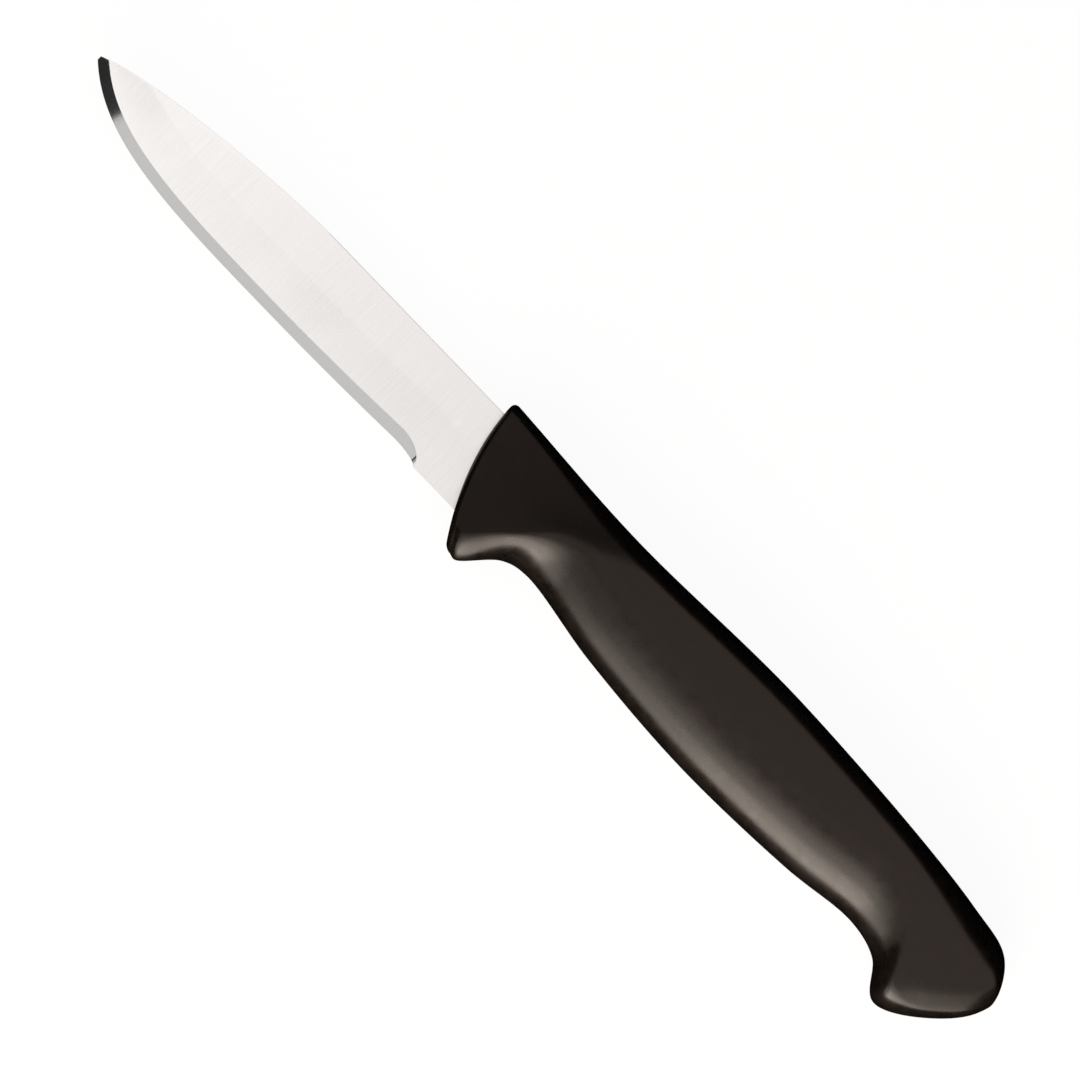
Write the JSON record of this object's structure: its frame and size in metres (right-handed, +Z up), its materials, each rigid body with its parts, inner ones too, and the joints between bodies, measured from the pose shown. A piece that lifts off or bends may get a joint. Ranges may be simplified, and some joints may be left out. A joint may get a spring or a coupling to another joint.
{
  "type": "paring knife",
  "caption": "Small kitchen paring knife: satin stainless blade with a curved, bevelled cutting edge, its tang held in a dark moulded plastic handle with a finger guard and a hooked butt.",
  "frame": {"origin": "middle of the knife's bounding box, on the plane that it lies on", "axes": "the knife lies on its right cheek: +X along the blade to the tip, +Y to the cutting edge, +Z up through the left cheek"},
  "size_m": [0.187, 0.023, 0.0155],
  "materials": {
    "blade_steel": "satin ground, with a brighter ground edge bevel",
    "handle_plastic": "fine spark-eroded mould texture"
  },
  "bodies": {
    "root": {"blade": "blade_steel", "handle": "handle_plastic"}
  },
  "joints": []
}
